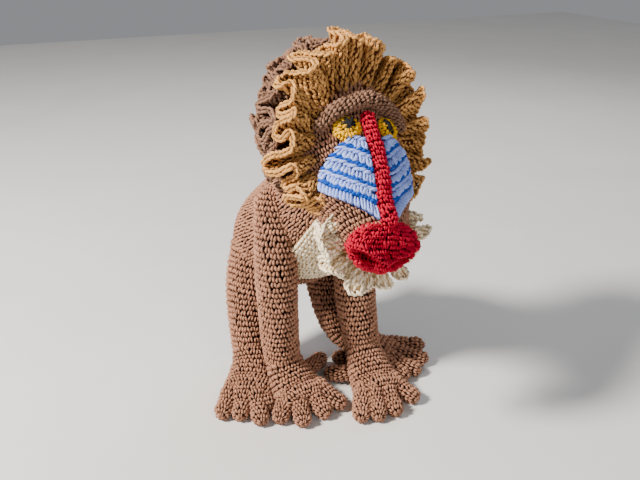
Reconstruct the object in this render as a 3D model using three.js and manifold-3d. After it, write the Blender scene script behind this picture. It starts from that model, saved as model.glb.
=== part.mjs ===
// Crocheted mandrill toy: a stuffed yarn animal standing on four feet, with a long red and blue
// face, a ruffled mane and a ruffled beard. Millimetres, +Z up, the face looks along -Y, +X is the
// toy's left. The origin is the bottom centre of the whole toy's box.

import * as THREE from "three";
import { mergeVertices } from "three/addons/utils/BufferGeometryUtils.js";
import Module from "manifold-3d";

const wasm = await Module();
wasm.setup();

const { Vector3, Matrix4, CatmullRomCurve3 } = THREE;
const { sin, cos, PI } = Math;

// Driving dimensions, in millimetres and degrees.
const gap = 0.3;
const boxCentre = { x: 1.88, y: -24.77 };
const headAt = new Vector3(-0.9, -46, 178);
const headYaw = 5.5;
const headRoll = 8.3;
const patchThick = 1.9;
const patchLift = 0.4;
const digitRadius = 5.3;
const digitBend = { share: 0.55, drop: 0.8 };
const eyeRadius = 6.4;
const ruffleThick = 2.2;

// Yarn colours.
const yarns = {
  brown: 0xa57a66,
  darkBrown: 0x8a6350,
  gold: 0xc8965e,
  cream: 0xdccdab,
  red: 0xc41c2c,
  lilac: 0xa6b8e2,
  blue: 0x2a6cc0,
  yellow: 0xe0b92a,
  black: 0x17171a,
};

const radians = (degrees) => (degrees * PI) / 180;
const vec = ([x, y, z]) => new Vector3(x, y, z);

// Stuffed pieces: an oval section swept along a curve, closed by a rounded cap at each end.
// sections holds [half width, half depth] at even steps along the path.
const body = {
  path: [[0, 22, 86], [0, 8, 99], [0, -10, 117], [0, -29, 138], [0, -40, 152]],
  sections: [[41, 32], [43.5, 35], [37.5, 33], [29.5, 28], [23, 24]],
  side: [1, 0, 0],
  caps: [27, 6],
  sides: 30,
  steps: 9,
};

const skull = {
  path: [[0, 3, 0], [0, -16, -14], [0, -36, -32], [0, -52, -43]],
  sections: [[33, 32], [32, 28.5], [31, 25.5], [29, 23.5], [26.5, 20], [22.5, 15.5], [19, 12.5]],
  side: [1, 0, 0],
  caps: [33, 4],
  sides: 30,
  steps: 12,
};

const limbs = {
  arm_right: {
    path: [[-27, -19, 128], [-29.5, -23, 98], [-29.5, -24, 62], [-27, -22, 25]],
    sections: [[13, 13], [13, 13], [12.2, 12.2], [11.4, 11.4]],
    side: [1, 0, 0],
    caps: [12, 3],
  },
  arm_left: {
    path: [[25, -19, 128], [24, -22, 98], [23.5, -25, 62], [27.5, -28.5, 25]],
    sections: [[13, 13], [13, 13], [12.8, 12.8], [11.4, 11.4]],
    side: [1, 0, 0],
    caps: [12, 3],
  },
  leg_right: {
    path: [[-25, 17, 84], [-33, 12, 62], [-39, 6, 40], [-41, 1, 23]],
    sections: [[20, 21], [18, 18], [13.5, 13.5], [11.5, 11.5]],
    side: [1, 0, 0],
    caps: [15, 3],
  },
  leg_left: {
    path: [[25, 17, 84], [23, 14, 62], [21.5, 8, 40], [24.5, 1, 23]],
    sections: [[20, 21], [18, 18], [13.5, 13.5], [11.5, 11.5]],
    side: [1, 0, 0],
    caps: [15, 3],
  },
};

const palms = {
  hand_right: {
    path: [[-26.5, -22, 24], [-25, -28, 15.5], [-23, -37, 8.4], [-21, -46, 7.2]],
    sections: [[11.2, 11.2], [13.4, 10.8], [16.4, 8.8], [18, 7.7]],
    side: [1, -0.1, 0],
    caps: [4, 5],
  },
  hand_left: {
    path: [[27.5, -29, 24], [27.2, -37, 15.5], [26.8, -48, 8.4], [26.5, -58, 7.2]],
    sections: [[11.2, 11.2], [13.4, 10.8], [16.4, 8.8], [18, 7.7]],
    side: [1, 0.02, 0],
    caps: [4, 5],
  },
  foot_right: {
    path: [[-41, 0, 22], [-43.5, -8, 14.5], [-48, -17, 8.6], [-53, -27, 7.2]],
    sections: [[11.4, 11.4], [12.4, 10.8], [14.8, 9], [16.5, 7.7]],
    side: [0.91, -0.42, 0],
    caps: [6, 5],
  },
  foot_left: {
    path: [[25, 2.5, 22], [33, -3.5, 14.5], [42, -13, 8.6], [51, -22.5, 7.2]],
    sections: [[11.4, 11.4], [12.4, 10.8], [15, 9], [17.5, 7.7]],
    side: [0.64, 0.77, 0],
    caps: [6, 5],
  },
};

// Digits: where each one leaves its palm and where the centre of its tip lies.
const digits = {
  hand_right: {
    thumb: [[-14, -25, 12], [4, -12, 8]],
    index: [[-9, -40, 9], [-3, -56.5, 5.2]],
    middle: [[-16, -44, 9], [-14.5, -60, 5]],
    ring: [[-25, -45, 9], [-29.5, -62, 5]],
    little: [[-32, -41, 9], [-40.5, -54, 5]],
  },
  hand_left: {
    thumb: [[19, -37, 11], [6, -28, 6.5]],
    index: [[14.5, -55, 8.5], [5, -73, 5]],
    middle: [[22, -58, 9], [15, -76, 5]],
    ring: [[30, -58, 9], [27, -76, 5]],
    little: [[38, -53, 9], [43, -69, 5]],
  },
  foot_right: {
    big: [[-43, -10, 9], [-27, -4, 5.2]],
    toe_1: [[-45, -30, 8], [-44.5, -40, 5]],
    toe_2: [[-49, -33, 9], [-52.5, -50.5, 5]],
    toe_3: [[-57, -29, 9], [-62, -41, 5]],
    toe_4: [[-63, -23, 9], [-71.5, -35.5, 5]],
  },
  foot_left: {
    big: [[33, -16, 9], [19, -13, 6.5]],
    toe_1: [[43, -32, 8.5], [49, -46, 5]],
    toe_2: [[48, -27, 9], [59.5, -43.5, 5]],
    toe_3: [[54, -20, 9], [70, -35, 5.5]],
    toe_4: [[58, -14, 9], [75.5, -21, 7]],
  },
};

const tail = {
  path: [[0, 40, 94], [0, 50, 103], [0, 56, 114]],
  sections: [[7.5, 7.5], [6.5, 6.5], [5.5, 5.5]],
  side: [1, 0, 0],
  caps: [6, 5.5],
};

// Face pieces, in the head's frame or as step along the head and angle round it from its top.
const brow = {
  ends: [0.2, 51],
  quarter: [0.15, 27],
  middle: [0.1, 2],
  radius: 3.9,
};
const eye = { step: 0.3, angle: 23, depth: 2.6 };
const pupil = { lift: 2.1, offset: [1, 2.2], half: [1.5, 3.3, 0.7], tilt: 24 };
const bridge = { from: 0.2, to: 1.02, halfWide: [3.5, 3.9, 4.4], halfDeep: 3.4 };
const nose = {
  centre: [0, -57.5, -46.5],
  lobeOut: 10.5,
  lobe: [11.2, 6.2, 12.6],
  middle: [9.5, 6.6, 13.6],
  tilt: 4,
};
const cheek = {
  // [step, angle] of the outer and inner ends of the patch's rows, from the eye to the muzzle.
  outer: [[0.36, 20], [0.42, 36], [0.49, 52], [0.55, 66], [0.63, 74]],
  inner: [[0.37, 9.5], [0.5, 9.5], [0.64, 9.5], [0.8, 10.5], [0.99, 15]],
  stripes: [0.2, 0.42, 0.64, 0.86],
  stripeHalf: 0.035,
  stripeThick: 0.9,
};

// Cream patch on the chest and belly, as steps along the body and the angle from its back.
const chest = { from: 0.28, to: 0.86, halfAngle: 52 };
const rump = { step: -0.62, angle: 50, half: [12, 13.5, 3] };

// Ruffles: flat rings set on edge and pleated. tilt leans the ring's plane back at the top, lean
// turns the sheet backwards, and the sweep is the angle from the top to each end. outer is the
// radius at the top, at the sides and below.
const ruffles = {
  mane_gold: {
    centre: [-1, -20, 0], tilt: 17, lean: -4, sweep: 156, inner: 21, outer: [54, 46, 54],
    folds: 18, swing: 3.8, yarn: "gold",
  },
  mane_brown_1: {
    centre: [-1, -5, 2], tilt: 13, lean: 8, sweep: 152, inner: 23, outer: [48, 44.5, 52],
    folds: 17, swing: 3.4, yarn: "darkBrown",
  },
  mane_brown_2: {
    centre: [0, 8, 2], tilt: 7, lean: 30, sweep: 146, inner: 22, outer: [45, 42, 45],
    folds: 15, swing: 3.4, yarn: "darkBrown",
  },
  mane_brown_3: {
    centre: [0, 19, 1], tilt: 0, lean: 52, sweep: 140, inner: 14, outer: [37, 36, 37],
    folds: 11, swing: 3, yarn: "darkBrown",
  },
  beard: {
    centre: [0, -43, -38], tilt: 184, lean: 6, sweep: 100, inner: 12, outer: [38, 34, 34],
    folds: 10, swing: 3, yarn: "cream",
  },
};

// A closed geometry as a solid, with the corners that its faces share merged first and its faces
// out.
function solidOf(geometry) {
  const bare = geometry.clone();
  bare.deleteAttribute("normal");
  bare.deleteAttribute("uv");
  const merged = facingOut(mergeVertices(bare, 1e-4));
  return new wasm.Manifold(
    new wasm.Mesh({
      numProp: 3,
      vertProperties: new Float32Array(merged.attributes.position.array),
      triVerts: new Uint32Array(merged.index.array),
    }),
  );
}

// The largest closed surface of a solid, as a geometry.
function geometryOf(solid) {
  const bodies = solid.decompose();
  const largest = bodies.reduce((best, one) => (one.volume() > best.volume() ? one : best));
  const mesh = largest.getMesh();
  const count = mesh.vertProperties.length / mesh.numProp;
  const positions = new Float32Array(count * 3);
  for (let i = 0; i < count; i++) {
    positions.set(mesh.vertProperties.subarray(i * mesh.numProp, i * mesh.numProp + 3), i * 3);
  }
  const geometry = new THREE.BufferGeometry();
  geometry.setAttribute("position", new THREE.BufferAttribute(positions, 3));
  geometry.setIndex(new THREE.BufferAttribute(new Uint32Array(mesh.triVerts), 1));
  geometry.computeVertexNormals();
  return geometry;
}

// Moves every corner of a geometry to the place that a function gives for it.
function mapped(geometry, place) {
  const position = geometry.attributes.position;
  const corner = new Vector3();
  for (let i = 0; i < position.count; i++) {
    corner.fromBufferAttribute(position, i);
    const moved = place(corner);
    position.setXYZ(i, moved.x, moved.y, moved.z);
  }
  return geometry;
}

// The point of a stuffed piece's skin at a step along it and an angle round it from its top. A
// step below 0 or above 1 lies on a cap. grow moves the skin outwards.
function skinPoint(piece, step, angle, grow = 0) {
  const path = new CatmullRomCurve3(piece.path.map(vec), false, "catmullrom");
  const widths = piece.sections.map(([wide, deep]) => new Vector3(wide, deep, 0));
  const t = THREE.MathUtils.clamp(step, 0, 1);
  const section = new CatmullRomCurve3(widths, false, "catmullrom").getPoint(t);
  const ahead = path.getTangent(t);
  const side = vec(piece.side).addScaledVector(ahead, -ahead.dot(vec(piece.side))).normalize();
  const top = new Vector3().crossVectors(ahead, side);
  const startTurn = (THREE.MathUtils.clamp(-step, 0, 1) * PI) / 2;
  const endTurn = (THREE.MathUtils.clamp(step - 1, 0, 1) * PI) / 2;
  const shrink = cos(startTurn + endTurn);
  const reach = (piece.caps[1] + grow) * sin(endTurn) - (piece.caps[0] + grow) * sin(startTurn);
  return path.getPoint(t)
    .addScaledVector(ahead, reach)
    .addScaledVector(side, shrink * (section.x + grow) * sin(angle))
    .addScaledVector(top, shrink * (section.y + grow) * cos(angle));
}

// The point where a digit has come down from its palm and starts to lie along the floor.
function digitKnuckle(root, tip) {
  const [x, y] = [0, 1].map((i) => THREE.MathUtils.lerp(root[i], tip[i], digitBend.share));
  return [x, y, THREE.MathUtils.lerp(root[2], tip[2], digitBend.drop)];
}

// A stuffed piece's closed skin, made from a sphere whose rings are spread along the path.
function stuffed(piece, grow = 0) {
  const { sides = 12, steps = 5, capSteps = 3 } = piece;
  const rings = steps + 2 * capSteps;
  return mapped(new THREE.SphereGeometry(1, sides, rings), (corner) => {
    const ring = Math.round((Math.acos(THREE.MathUtils.clamp(corner.y, -1, 1)) / PI) * rings);
    const angle = Math.atan2(corner.z, corner.x);
    if (ring <= capSteps) return skinPoint(piece, ring / capSteps - 1, angle, grow);
    if (ring >= capSteps + steps) {
      return skinPoint(piece, 1 + (ring - capSteps - steps) / capSteps, angle, grow);
    }
    return skinPoint(piece, (ring - capSteps) / steps, angle, grow);
  });
}

// A sheet between two surfaces that share one grid, split into like triangles on both faces.
function sheet(across, along, low, high) {
  const flat = new THREE.PlaneGeometry(1, 1, across, along);
  const { position } = flat.attributes;
  const count = position.count;
  const corners = [];
  for (const face of [high, low]) {
    for (let i = 0; i < count; i++) {
      const point = face(position.getX(i) + 0.5, position.getY(i) + 0.5);
      corners.push(point.x, point.y, point.z);
    }
  }
  const faces = [];
  const index = flat.index.array;
  for (let i = 0; i < index.length; i += 3) {
    const [a, b, c] = [index[i], index[i + 1], index[i + 2]];
    faces.push(a, b, c, a + count, c + count, b + count);
  }
  const rim = [];
  for (let i = 0; i < across; i++) rim.push(i);
  for (let j = 0; j < along; j++) rim.push(j * (across + 1) + across);
  for (let i = across; i > 0; i--) rim.push(along * (across + 1) + i);
  for (let j = along; j > 0; j--) rim.push(j * (across + 1));
  rim.forEach((a, k) => {
    const b = rim[(k + 1) % rim.length];
    faces.push(a, b, a + count, b, b + count, a + count);
  });
  const geometry = new THREE.BufferGeometry();
  geometry.setAttribute("position", new THREE.Float32BufferAttribute(corners, 3));
  geometry.setIndex(faces);
  return geometry;
}

// Turns a closed geometry's faces round if they point inwards.
function facingOut(geometry) {
  const { array } = geometry.attributes.position;
  const index = geometry.index.array;
  const at = (i) => new Vector3(array[i * 3], array[i * 3 + 1], array[i * 3 + 2]);
  let volume = 0;
  for (let i = 0; i < index.length; i += 3) {
    volume += at(index[i]).dot(at(index[i + 1]).cross(at(index[i + 2])));
  }
  if (volume > 0) return geometry;
  const turned = Array.from(index);
  for (let i = 0; i < turned.length; i += 3) {
    [turned[i + 1], turned[i + 2]] = [turned[i + 2], turned[i + 1]];
  }
  geometry.setIndex(turned);
  return geometry;
}

// A pleated ruffle. It runs from end to end as u goes from 0 to 1, and from its root to its free
// edge as v does, and its pleats swing wider towards the edge.
function ruffle(spec, grow = 0) {
  const tilt = radians(spec.tilt);
  const lean = radians(spec.lean);
  const up = new Vector3(0, sin(tilt), cos(tilt));
  const right = new Vector3(1, 0, 0);
  const front = new Vector3().crossVectors(right, up);
  const middle = (u, v) => {
    const angle = (radians(spec.sweep) + grow / spec.inner) * (2 * u - 1);
    const out = right.clone().multiplyScalar(sin(angle)).addScaledVector(up, cos(angle));
    const along = out.clone().multiplyScalar(cos(lean)).addScaledVector(front, -sin(lean));
    const facing = out.clone().multiplyScalar(sin(lean)).addScaledVector(front, cos(lean));
    const [top, sideways, end] = spec.outer;
    const outer = THREE.MathUtils.lerp(sideways, cos(angle) > 0 ? top : end, cos(angle) ** 2);
    const taper = 1 - 0.32 * THREE.MathUtils.smoothstep(Math.abs(2 * u - 1), 0.86, 1);
    const reach = ((outer - spec.inner) * taper + grow) * v;
    const swing = spec.swing * (0.15 + 0.85 * v) * cos(2 * PI * spec.folds * u);
    return vec(spec.centre)
      .addScaledVector(out, spec.inner)
      .addScaledVector(along, reach)
      .addScaledVector(facing, swing);
  };
  const face = (half) => (u, v) => {
    const alongU = middle(u + 1e-3, v).sub(middle(u - 1e-3, v));
    const alongV = middle(u, v + 1e-2).sub(middle(u, v - 1e-2));
    const normal = alongU.cross(alongV).normalize();
    return middle(u, v).addScaledVector(normal, half);
  };
  const half = ruffleThick / 2 + grow;
  return sheet(spec.folds * 2, 2, face(-half), face(half));
}

// A flattened ball with its own half sizes, turned and placed by a matrix.
function pad(half, matrix, sides = 12, rings = 8) {
  return new THREE.SphereGeometry(1, sides, rings).scale(...half).applyMatrix4(matrix);
}

// A matrix whose z axis leaves a stuffed piece's skin square to it, at a step and an angle.
function onSkin(piece, step, angle, lift = 0) {
  const here = skinPoint(piece, step, angle);
  const alongPath = skinPoint(piece, step + 0.02, angle).sub(skinPoint(piece, step - 0.02, angle));
  const round = skinPoint(piece, step, angle + 0.05).sub(skinPoint(piece, step, angle - 0.05));
  const x = round.normalize();
  const z = new Vector3().crossVectors(x, alongPath).normalize().negate();
  if (z.dot(here.clone().sub(skinPoint(piece, step, angle, -1))) < 0) z.negate();
  const y = new Vector3().crossVectors(z, x);
  return new Matrix4().makeBasis(x, y, z).setPosition(here.addScaledVector(z, lift));
}

// A row table's value at a place between its rows, with straight stretches between them.
function between(rows, place) {
  const scaled = THREE.MathUtils.clamp(place, 0, 1) * (rows.length - 1);
  const low = Math.min(Math.floor(scaled), rows.length - 2);
  const share = scaled - low;
  return rows[low].map((value, i) => value + (rows[low + 1][i] - value) * share);
}

// A part of the cheek patch between two rows, with its back and front at two heights.
function cheekSheet(sign, firstRow, lastRow, across, along, heights) {
  const at = (height) => (u, v) => {
    const row = firstRow + (lastRow - firstRow) * v;
    const outer = between(cheek.outer, row);
    const inner = between(cheek.inner, row);
    const step = THREE.MathUtils.lerp(inner[0], outer[0], u);
    const angle = THREE.MathUtils.lerp(inner[1], outer[1], u);
    return skinPoint(skull, step, sign * radians(angle), height);
  };
  return sheet(across, along, at(heights[0]), at(heights[1]));
}

const minus = (solid, ...cutters) => cutters.reduce((left, cutter) => left.subtract(cutter), solid);

const headPose = new Matrix4()
  .makeRotationZ(radians(headYaw))
  .multiply(new Matrix4().makeRotationY(radians(headRoll)))
  .setPosition(headAt);
const intoHead = headPose.clone().invert();

const part = new THREE.Group();
part.position.set(-boxCentre.x, -boxCentre.y, 0);
const headGroup = new THREE.Group();
headGroup.applyMatrix4(headPose);
part.add(headGroup);

function addNode(name, solid, yarn, group = part) {
  const material = new THREE.MeshStandardMaterial({
    color: yarns[yarn],
    roughness: 0.9,
    metalness: 0,
  });
  const mesh = new THREE.Mesh(geometryOf(solid), material);
  mesh.name = name;
  group.add(mesh);
}

const sides = { right: -1, left: 1 };

// Everything below the floor, which the feet and digits are cut flat by.
const underFloor = solidOf(new THREE.BoxGeometry(400, 400, 60).translate(0, 0, -30));

// Head and the neighbours that cut it or are cut by it.
const headSolid = solidOf(stuffed(skull));
const headGrown = solidOf(stuffed(skull, gap));
const headGrownInBody = solidOf(stuffed(skull, gap).applyMatrix4(headPose));
addNode("head", headSolid, "brown", headGroup);

const bodyGrown = solidOf(stuffed(body, gap));
const bodySolid = minus(solidOf(stuffed(body)), headGrownInBody);
addNode("torso", bodySolid, "brown");

// Limbs, hands, feet and digits.
const limbOf = {
  hand_right: "arm_right",
  hand_left: "arm_left",
  foot_right: "leg_right",
  foot_left: "leg_left",
};
const armsGrown = [];
const palmsGrown = [];
for (const [palmName, palm] of Object.entries(palms)) {
  const limbName = limbOf[palmName];
  const limb = limbs[limbName];
  const palmGrown = solidOf(stuffed(palm, gap));
  const limbSolid = minus(solidOf(stuffed(limb)), bodyGrown, headGrownInBody, palmGrown);
  addNode(limbName, limbSolid, "brown");
  if (limbName.startsWith("arm")) {
    armsGrown.push(stuffed(limb, gap));
  }
  addNode(palmName, minus(solidOf(stuffed(palm)), underFloor, ...palmsGrown), "brown");
  palmsGrown.push(palmGrown);
  let before = null;
  for (const [digitName, [root, tip]] of Object.entries(digits[palmName])) {
    const digit = {
      path: [root, digitKnuckle(root, tip), tip],
      sections: [[digitRadius, digitRadius], [digitRadius, digitRadius]],
      side: [0, 0, 1],
      caps: [digitRadius, digitRadius],
      sides: 8,
      steps: 2,
      capSteps: 2,
    };
    const cutters = [palmGrown, underFloor];
    if (before) cutters.push(before);
    addNode(`${palmName}_${digitName}`, minus(solidOf(stuffed(digit)), ...cutters), "brown");
    before = solidOf(stuffed(digit, gap));
  }
}
addNode("tail", minus(solidOf(stuffed({ ...tail, sides: 12, steps: 4 })), bodyGrown), "brown");

// Face.
const browPath = [
  [brow.ends[0], -brow.ends[1]],
  [brow.quarter[0], -brow.quarter[1]],
  [brow.middle[0], brow.middle[1]],
  [brow.quarter[0], brow.quarter[1]],
  [brow.ends[0], brow.ends[1]],
].map(([step, angle]) => skinPoint(skull, step, radians(angle), 0.8).toArray());
const browRoll = {
  path: browPath,
  sections: [[2.6, 2.6], [brow.radius, brow.radius], [brow.radius, brow.radius],
    [brow.radius, brow.radius], [2.6, 2.6]],
  side: [0, 0.6, 0.8],
  caps: [3, 3],
  sides: 10,
  steps: 10,
};
addNode("brow", minus(solidOf(stuffed(browRoll)), headGrown), "darkBrown", headGroup);
const browGrown = solidOf(stuffed(browRoll, gap));

const bridgeSteps = [0, 0.25, 0.5, 0.75, 1].map((share) => {
  const step = bridge.from + (bridge.to - bridge.from) * share;
  return skinPoint(skull, step, 0, 0.4).toArray();
});
const bridgeRoll = {
  path: bridgeSteps,
  sections: bridge.halfWide.map((wide) => [wide, bridge.halfDeep]),
  side: [1, 0, 0],
  caps: [3, 3],
  sides: 12,
  steps: 8,
};
const bridgeSolid = minus(solidOf(stuffed(bridgeRoll)), headGrown, browGrown);
const bridgeGrown = solidOf(stuffed(bridgeRoll, gap));

const noseTurn = new Matrix4().makeRotationX(radians(nose.tilt)).setPosition(vec(nose.centre));
const noseParts = (grow) => {
  const lobe = nose.lobe.map((size) => size + grow);
  const middle = nose.middle.map((size) => size + grow);
  const at = (x) => noseTurn.clone().multiply(new Matrix4().makeTranslation(x, 0, 0));
  const lobes = Object.values(sides).map((side) => solidOf(pad(lobe, at(side * nose.lobeOut))));
  return lobes.reduce((whole, one) => whole.add(one), solidOf(pad(middle, at(0))));
};
addNode("nose", minus(noseParts(0), headGrown), "red", headGroup);
const noseGrown = noseParts(gap);
addNode("nose_bridge", minus(bridgeSolid, noseGrown), "red", headGroup);

for (const [name, sign] of Object.entries(sides)) {
  const place = onSkin(skull, eye.step, sign * radians(eye.angle));
  const eyeHalf = [eyeRadius, eyeRadius, eye.depth];
  const eyeGrown = solidOf(pad(eyeHalf.map((size) => size + gap), place));
  const cutters = [headGrown, browGrown, bridgeGrown];
  addNode(`eye_${name}`, minus(solidOf(pad(eyeHalf, place)), ...cutters), "yellow", headGroup);

  const pupilPlace = place
    .clone()
    .multiply(new Matrix4().makeTranslation(pupil.offset[0], pupil.offset[1], pupil.lift))
    .multiply(new Matrix4().makeRotationZ(radians(pupil.tilt)));
  const pupilSolid = solidOf(pad(pupil.half, pupilPlace, 10, 6));
  addNode(`pupil_${name}`, minus(pupilSolid, eyeGrown, browGrown), "black", headGroup);

  const patchTop = patchLift + patchThick;
  const patch = solidOf(cheekSheet(sign, 0, 1, 5, 6, [patchLift, patchTop]));
  addNode(`cheek_${name}`, minus(patch, bridgeGrown, noseGrown, eyeGrown), "lilac", headGroup);
  cheek.stripes.forEach((row, i) => {
    const rows = [row - cheek.stripeHalf, row + cheek.stripeHalf];
    const heights = [patchTop + gap, patchTop + gap + cheek.stripeThick];
    const stripe = solidOf(cheekSheet(sign, ...rows, 5, 1, heights));
    const clear = minus(stripe, bridgeGrown, noseGrown, eyeGrown);
    addNode(`cheek_stripe_${name}_${i + 1}`, clear, "blue", headGroup);
  });
}

// Ruffles, each cut clear of the head, the body, the arms and the ruffles before it.
const bodyInHead = solidOf(stuffed(body, gap).applyMatrix4(intoHead));
const armsInHead = armsGrown.map((arm) => solidOf(arm.clone().applyMatrix4(intoHead)));
const ruffleCutters = [headGrown, bodyInHead, ...armsInHead, noseGrown, browGrown];
for (const [name, spec] of Object.entries(ruffles)) {
  addNode(name, minus(solidOf(ruffle(spec)), ...ruffleCutters), spec.yarn, headGroup);
  ruffleCutters.push(solidOf(ruffle(spec, gap)));
}

// Cream chest and the coloured rump pads.
const chestAt = (height) => (u, v) => {
  const step = THREE.MathUtils.lerp(chest.from, chest.to, v);
  const angle = PI + radians(chest.halfAngle) * (2 * u - 1);
  return skinPoint(body, step, angle, height);
};
const chestSheet = sheet(8, 6, chestAt(patchLift), chestAt(patchLift + patchThick));
const chestCutters = armsGrown.map((arm) => solidOf(arm));
addNode("chest_patch", minus(solidOf(chestSheet), ...chestCutters, headGrownInBody), "cream");

for (const [name, sign] of Object.entries(sides)) {
  const place = onSkin(body, rump.step, sign * radians(rump.angle));
  addNode(`rump_${name}`, minus(solidOf(pad(rump.half, place)), bodyGrown), "lilac");
}

export default part;
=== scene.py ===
"""Crocheted mandrill toy: each piece of the frame is dressed in its own yarn, stitch by stitch.

Shapes are in millimetres in the toy's own frame, and turn into metres when a mesh is made.
A surface is read by its spot(a, s, h): a share of the way round, a length along it and a height.
"""

import math

import bpy
import numpy as np
from mathutils import Matrix, Vector
from mathutils.bvhtree import BVHTree


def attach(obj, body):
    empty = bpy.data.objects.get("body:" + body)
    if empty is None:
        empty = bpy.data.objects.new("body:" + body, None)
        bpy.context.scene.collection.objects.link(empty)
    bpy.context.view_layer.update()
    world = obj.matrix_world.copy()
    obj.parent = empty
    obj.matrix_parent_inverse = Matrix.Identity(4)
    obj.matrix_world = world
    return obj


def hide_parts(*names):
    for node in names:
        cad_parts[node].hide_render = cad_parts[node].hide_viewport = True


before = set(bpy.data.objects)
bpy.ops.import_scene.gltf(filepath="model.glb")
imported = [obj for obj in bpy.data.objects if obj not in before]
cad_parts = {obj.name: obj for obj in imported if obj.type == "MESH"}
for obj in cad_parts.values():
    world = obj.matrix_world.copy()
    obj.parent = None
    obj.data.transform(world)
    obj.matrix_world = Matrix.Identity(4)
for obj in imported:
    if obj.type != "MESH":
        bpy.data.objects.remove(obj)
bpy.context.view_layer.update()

MM = 0.001
SHIFT = np.array((-1.88, 24.77, 0.0))
SEED = 20

# Camera

CAMERA_AT = (-0.1664, -0.3666, 0.2820)
CAMERA_RIGHT = (0.9135, -0.4067, 0.0)
CAMERA_UP = (0.1654, 0.3715, 0.9136)
CAMERA_BACK = (-0.3716, -0.8346, 0.4067)
LENS = 40.5


def make_camera():
    data = bpy.data.cameras.new("photo_camera")
    data.lens = LENS
    data.sensor_width = 36
    data.clip_start = 0.01
    data.clip_end = 20
    camera = bpy.data.objects.new("photo_camera", data)
    columns = (CAMERA_RIGHT, CAMERA_UP, CAMERA_BACK, CAMERA_AT)
    rows = [[column[i] for column in columns] for i in range(3)]
    camera.matrix_world = Matrix((*rows, (0, 0, 0, 1)))
    bpy.context.scene.collection.objects.link(camera)
    bpy.context.scene.camera = camera


make_camera()

# Shapes, as in the CAD

HEAD_AT = np.array((-0.9, -46.0, 178.0))
HEAD_YAW = math.radians(5.5)
HEAD_ROLL = math.radians(8.3)
DIGIT_RADIUS = 5.3
KNUCKLE_SHARE = 0.55
KNUCKLE_DROP = 0.8
SIDES = {"right": -1, "left": 1}

BODY = dict(
    path=[(0, 22, 86), (0, 8, 99), (0, -10, 117), (0, -29, 138), (0, -40, 152)],
    sections=[(41, 32), (43.5, 35), (37.5, 33), (29.5, 28), (23, 24)],
    side=(1, 0, 0),
    caps=(27, 6),
)
SKULL = dict(
    path=[(0, 3, 0), (0, -16, -14), (0, -36, -32), (0, -52, -43)],
    sections=[(33, 32), (32, 28.5), (31, 25.5), (29, 23.5), (26.5, 20), (22.5, 15.5), (19, 12.5)],
    side=(1, 0, 0),
    caps=(33, 4),
)
LIMBS = {
    "arm_right": dict(
        path=[(-27, -19, 128), (-29.5, -23, 98), (-29.5, -24, 62), (-27, -22, 25)],
        sections=[(13, 13), (13, 13), (12.2, 12.2), (11.4, 11.4)],
        side=(1, 0, 0),
        caps=(12, 3),
    ),
    "arm_left": dict(
        path=[(25, -19, 128), (24, -22, 98), (23.5, -25, 62), (27.5, -28.5, 25)],
        sections=[(13, 13), (13, 13), (12.8, 12.8), (11.4, 11.4)],
        side=(1, 0, 0),
        caps=(12, 3),
    ),
    "leg_right": dict(
        path=[(-25, 17, 84), (-33, 12, 62), (-39, 6, 40), (-41, 1, 23)],
        sections=[(20, 21), (18, 18), (13.5, 13.5), (11.5, 11.5)],
        side=(1, 0, 0),
        caps=(15, 3),
    ),
    "leg_left": dict(
        path=[(25, 17, 84), (23, 14, 62), (21.5, 8, 40), (24.5, 1, 23)],
        sections=[(20, 21), (18, 18), (13.5, 13.5), (11.5, 11.5)],
        side=(1, 0, 0),
        caps=(15, 3),
    ),
}
PALMS = {
    "hand_right": dict(
        path=[(-26.5, -22, 24), (-25, -28, 15.5), (-23, -37, 8.4), (-21, -46, 7.2)],
        sections=[(11.2, 11.2), (13.4, 10.8), (16.4, 8.8), (18, 7.7)],
        side=(1, -0.1, 0),
        caps=(4, 5),
    ),
    "hand_left": dict(
        path=[(27.5, -29, 24), (27.2, -37, 15.5), (26.8, -48, 8.4), (26.5, -58, 7.2)],
        sections=[(11.2, 11.2), (13.4, 10.8), (16.4, 8.8), (18, 7.7)],
        side=(1, 0.02, 0),
        caps=(4, 5),
    ),
    "foot_right": dict(
        path=[(-41, 0, 22), (-43.5, -8, 14.5), (-48, -17, 8.6), (-53, -27, 7.2)],
        sections=[(11.4, 11.4), (12.4, 10.8), (14.8, 9), (16.5, 7.7)],
        side=(0.91, -0.42, 0),
        caps=(6, 5),
    ),
    "foot_left": dict(
        path=[(25, 2.5, 22), (33, -3.5, 14.5), (42, -13, 8.6), (51, -22.5, 7.2)],
        sections=[(11.4, 11.4), (12.4, 10.8), (15, 9), (17.5, 7.7)],
        side=(0.64, 0.77, 0),
        caps=(6, 5),
    ),
}
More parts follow.
